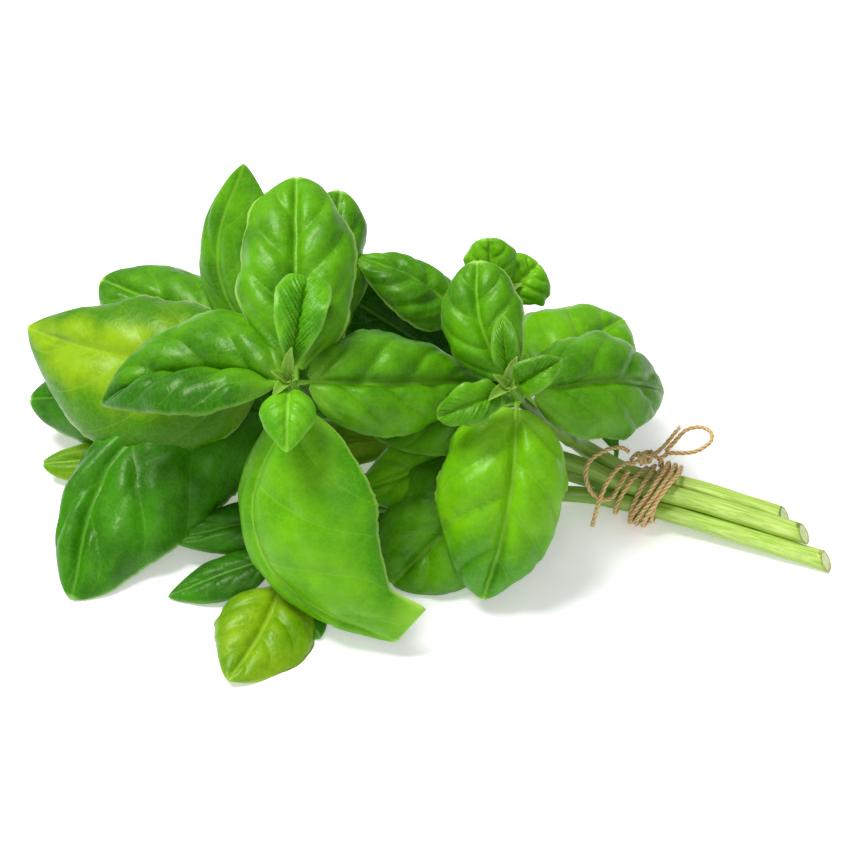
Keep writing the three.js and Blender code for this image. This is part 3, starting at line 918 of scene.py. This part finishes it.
class Blade:
    """A leaf's blade as a grid: U is 0 where it starts and 1 at its tip, V is -1 at its
    right margin and 1 at its left one, and A is V without its sign."""

    def __init__(self, name, leaf, midrib):
        self.leaf = leaf
        self.petiole_share = leaf["petiole"] / midrib.length
        self.length = midrib.length * (1 - self.petiole_share)
        t = np.linspace(0, 1, LONG)
        self.u = 0.35 * t + 0.65 * (0.5 - 0.5 * np.cos(math.pi * t))
        self.u[0], self.u[-1] = 0.006, 0.998
        v = np.linspace(-1, 1, WIDE)
        v = np.sign(v) * np.abs(v) ** 0.92
        self.U, self.V = np.meshgrid(self.u, v, indexing="ij")
        self.A = np.abs(self.V)
        self.set_outline()
        self.set_veins()
        self.rough = self.noise_at(name_seed(name))
        flap = np.maximum(1 - np.abs(self.U - FLARE_AT) / FLARE_REACH, 0)
        self.flap = flap * smooth(self.V, 0.2, 1.0) * (leaf["flare"] != (0, 0, 0))

    def set_outline(self):
        """The half width, and the blade's section before it is folded."""
        leaf = self.leaf
        teeth = TAU * self.length / TOOTH_SPACING
        notch = 1 + 0.007 * np.sin(teeth * self.U + self.V * 2)
        notch = notch + 0.005 * np.sin(2.3 * teeth * self.U)
        # The blade is domed further than the CAD's and cut wider, so its outline stays.
        cup = leaf["cup"] + leaf["dome"]
        wider = (math.sin(leaf["cup"]) / leaf["cup"]) / (math.sin(cup) / cup)
        half = leaf["width"] / 2 * wider * width_at(self.U, leaf["point"], leaf["base"])
        self.half = half * np.where(self.A > 0.9, notch, 1)
        self.y = self.half * np.sin(cup * self.A) / cup
        self.z = -self.half * (1 - np.cos(cup * self.A)) / cup

    def set_veins(self):
        """Side veins leave the midrib one by one and bend towards the tip. The midrib can
        lie nearer one margin, where that half of the blade is turned away."""
        leaf, V = self.leaf, self.V
        rib = leaf["mid"] * np.sin(math.pi * self.U) ** 0.7
        self.out = np.where(V > rib, (V - rib) / (1 - rib), (rib - V) / (1 + rib))
        self.across = (V - rib) * self.half
        ahead = 0.28 * self.out + 0.14 * self.out**3
        self.phase = leaf["veins"] * (self.U - ahead) + np.where(V > rib, 0.0, 0.45)

    def noise_at(self, number):
        seed = Vector((number * 1.7, 3.1, 9.2))
        length = self.length
        values = [
            noise.noise(Vector((a * length * 0.09, b * 0.09, 0)) + seed)
            + 0.35 * noise.noise(Vector((a * length * 0.25, b * 0.25, 5)) + seed)
            for a, b in zip(self.U.ravel(), (self.V * self.half).ravel())
        ]
        return np.array(values).reshape(self.U.shape)

    def heights(self, rng):
        """How far the skin stands off the smooth blade, in mm."""
        leaf, U, V, out = self.leaf, self.U, self.V, self.out
        off = 2 * np.abs(self.phase - np.floor(self.phase) - 0.5)
        body = smooth(out, 0.0, 0.16) * (1 - 0.85 * smooth(out, 0.4, 0.95))
        body = body * smooth(U, 0.0, 0.1) * smooth(U, 1.0, 0.85)
        scale = np.clip(self.half / 14, 0.3, 1.3)
        puff = leaf["puff"] * scale
        height = puff * body * (1 - off**3.2)
        height += 0.5 * puff * smooth(out, 0.0, 0.35) * (1 - smooth(out, 0.6, 1.0))
        ends = smooth(U, 0, 0.1) * smooth(U, 1, 0.9)
        height += 0.6 * puff * ends * self.rough
        height += leaf["ribs"] * body * np.cos(TAU * self.phase * 3)
        height -= 0.6 * scale * np.exp(-((self.across / 1.5) ** 2)) * smooth(U, 1.0, 0.9)
        swing = rng.uniform(0, TAU, 3)
        left = np.sin(TAU * 2.1 * U + swing[0]) + 0.4 * np.sin(TAU * 4.3 * U + swing[2])
        right = np.sin(TAU * 2.4 * U + swing[1]) + 0.4 * np.sin(TAU * 3.7 * U + swing[2])
        height += leaf["wave"] * self.half * self.A**3 * np.where(V > 0, left, right)
        height -= leaf["roll"] * self.half * smooth(self.A, 0.84, 1.0)
        return height

    def sides(self, midrib, rng):
        """The upper and the lower surface."""
        fold = self.leaf["fold"]
        turn_y = np.sign(self.V) * (self.y * math.cos(fold) - self.z * math.sin(fold))
        turn_z = self.y * math.sin(fold) + self.z * math.cos(fold)
        s = self.petiole_share + (1 - self.petiole_share) * self.u
        side, normal = midrib.frame(s)
        surface = midrib.at(s)[:, None] + side[:, None] * turn_y[..., None]
        surface += normal[:, None] * turn_z[..., None]
        surface += np.array(self.leaf["flare"], float) * self.flap[..., None]

        # The true normal of the smooth surface, so that the swelling stands off it squarely.
        square = unit(np.cross(np.gradient(surface, axis=0), np.gradient(surface, axis=1)))
        square[(square * normal[:, None]).sum(-1) < 0] *= -1
        surface = surface + square * self.heights(rng)[..., None]
        towards_tip = np.clip(smooth(self.U, 1.0, 0.93) + 0.25, 0, 1)
        thick = BLADE_THICKNESS / 2 * np.sqrt(np.clip(1 - self.A**6, 0.12, 1)) * towards_tip
        rib = (0.75 * (1 - self.U) + 0.12) * np.exp(-((self.across / 0.8) ** 2))
        return surface + square * thick[..., None], surface - square * (thick + rib)[..., None]

    def tones(self, rng):
        leaf = self.leaf
        # Painted shade and painted light: tones darkens and lightens the halves and the midrib,
        # and fade the tip, on top of the leaf's own tone and a small random one. The flared lobe
        # is paler.
        back, middle, front = leaf["tones"]
        tone = leaf["tone"] + rng.uniform(-0.08, 0.08) + middle
        halves = np.where(self.V < 0, back - middle, front - middle)
        tone = tone + halves * smooth(self.A, 0.15, 1.0)
        return tone + leaf["tip_shading"] * smooth(self.U, 0.45, 1.0) + 0.8 * self.flap

    def faces(self):
        """Four-sided faces of the upper side, the lower side and the rim between them."""
        rows, cols = self.U.shape
        top = np.arange(rows * cols).reshape(rows, cols)
        low = top + rows * cols
        faces = []
        for i in range(rows - 1):
            for j in range(cols - 1):
                corners = [(i, j), (i + 1, j), (i + 1, j + 1), (i, j + 1)]
                faces.append(tuple(top[corner] for corner in corners))
                faces.append(tuple(low[corner] for corner in reversed(corners)))
        for i in range(rows - 1):
            faces.append((top[i + 1, 0], top[i, 0], low[i, 0], low[i + 1, 0]))
            faces.append((top[i, -1], top[i + 1, -1], low[i + 1, -1], low[i, -1]))
        for j in range(cols - 1):
            faces.append((top[0, j], top[0, j + 1], low[0, j + 1], low[0, j]))
            faces.append((top[-1, j + 1], top[-1, j], low[-1, j], low[-1, j + 1]))
        return faces

    def add_to(self, skin, midrib, rng):
        upper, lower = self.sides(midrib, rng)
        flared = 1.8 * smooth(self.flap, 0.0, 0.9)
        values = dict(
            phase=self.phase,
            across=self.across,
            edge=np.minimum((1 - self.A) * self.half, (1 - self.U) * self.length),
            base=np.maximum(smooth(self.U, 0.16, 0.0), flared),
            along=self.U * self.length,
            tone=self.tones(rng),
        )
        size = self.U.size
        skin.add(
            np.vstack([upper.reshape(-1, 3), lower.reshape(-1, 3)]),
            self.faces(),
            below=np.concatenate([np.zeros(size), np.ones(size)]),
            pale=self.leaf["rim"],
            **{key: np.tile(value.ravel(), 2) for key, value in values.items()},
        )


def add_petiole(skin, midrib, blade):
    """The petiole runs from the stem into the midrib, grooved on top."""
    share = blade.petiole_share
    inward = np.linspace(0, 1, 12)
    line = np.vstack([midrib.stem_side, midrib.at(inward * (share + (1 - share) * 0.06))])
    line = Route(line, 4)
    grown = np.linspace(0, 1, 22)
    middle, ahead = line.at(grown), line.heading(grown)
    sides = unit(midrib.left - ahead * (ahead @ midrib.left)[:, None])
    normals = np.cross(ahead, sides)
    around = angles(12)
    girth = PETIOLE_RADIUS * (1.0 + 0.3 * np.exp(-grown * 9) - 0.35 * grown)
    groove = 1 - 0.25 * np.exp(-(((around - math.pi / 2) / 0.5) ** 2))
    reach = (girth[:, None] * groove[None])[..., None]
    rings = middle[:, None] + reach * spokes(sides, normals, around)
    rings -= normals[:, None] * (0.35 * grown[:, None, None])
    skin.tube(rings, across=6.0, edge=6.0, below=0.6, tone=blade.leaf["tone"], base=1.0)


def build_leaf(name, on, at, tip, face, own):
    leaf = {**LEAF, **own}
    midrib = Midrib(on, at, tip, face, leaf)
    blade = Blade(name, leaf, midrib)
    skin = Skin(LEAF_KEYS)
    blade.add_to(skin, midrib, np.random.default_rng(name_seed(name) + 100))
    add_petiole(skin, midrib, blade)
    piece = skin.make(f"basil_leaf_{name}", LOOKS[leaf["look"]])
    stand_for(piece, f"leaf_{name}")


# Camera, floor and light ---------------------------------------------------

TARGET = np.array([0.0, 0.0, 35.0])
CAMERA_DISTANCE = 640.0
CAMERA_RISE = math.radians(40)
FLOOR_REACH = 4.0  # metres each way
LIGHTS_AIM = Vector((0, 0, 0.03))


def place_camera():
    camera = bpy.data.cameras.new("camera")
    camera.lens = 80
    camera.sensor_width = 36
    camera.clip_start = 0.01
    eye = bpy.data.objects.new("camera", camera)
    away = np.array([0.0, -math.cos(CAMERA_RISE), math.sin(CAMERA_RISE)])
    eye.location = (TARGET + away * CAMERA_DISTANCE + ORIGIN) * MM
    eye.rotation_euler = (math.pi / 2 - CAMERA_RISE, 0, 0)
    collection.objects.link(eye)
    bpy.context.scene.camera = eye


def area_light(name, place, size, power):
    data = bpy.data.lights.new(name, "AREA")
    data.shape = "DISK"
    data.size = size
    data.energy = power
    light = bpy.data.objects.new(name, data)
    light.location = place
    light.rotation_euler = (LIGHTS_AIM - Vector(place)).to_track_quat("-Z", "Y").to_euler()
    collection.objects.link(light)


def build_floor():
    floor = bpy.data.meshes.new("floor")
    far = FLOOR_REACH
    corners = [(-far, -far, 0), (far, -far, 0), (far, far, 0), (-far, far, 0)]
    floor.from_pydata(corners, [], [(0, 1, 2, 3)])
    ground = bpy.data.objects.new("floor", floor)
    collection.objects.link(ground)
    paper = Look("floor_paper")
    grain = paper.ramp(paper.noise(40.0), 0.3, 0.7)
    paper.set(
        Base_Color=paper.mix(grain, colour("f8f8f8"), colour("fbfbfb")),
        Roughness=0.9,
        Emission_Color=colour("ffffff"),
        Emission_Strength=0.28,
    )
    floor.materials.append(paper.material)


def build_light():
    world = bpy.data.worlds.new("studio")
    world.use_nodes = True
    background = world.node_tree.nodes["Background"]
    background.inputs["Color"].default_value = (1, 1, 1, 1)
    background.inputs["Strength"].default_value = 0.42
    bpy.context.scene.world = world
    area_light("key", (-0.4, 0.05, 1.0), 0.45, 11.5)
    area_light("fill", (0.1, -1.0, 0.8), 0.9, 3.0)
    bpy.context.scene.view_settings.view_transform = "Standard"


place_camera()
build_free_cords()
tie_rng = np.random.default_rng(11)
build_wrap(tie_rng)
build_knot(tie_rng)
stem_rng = np.random.default_rng(5)
for stem_name, stem_line in STEM_ROUTES.items():
    grown_at = [leaf[1] for leaf in LEAVES.values() if leaf[0] == stem_name and leaf[1] < 0.9]
    build_stem(stem_name, stem_line, stem_rng, grown_at)
for leaf_name, (on, at, tip, face, own) in LEAVES.items():
    build_leaf(leaf_name, on, at, tip, face, own)
build_floor()
build_light()
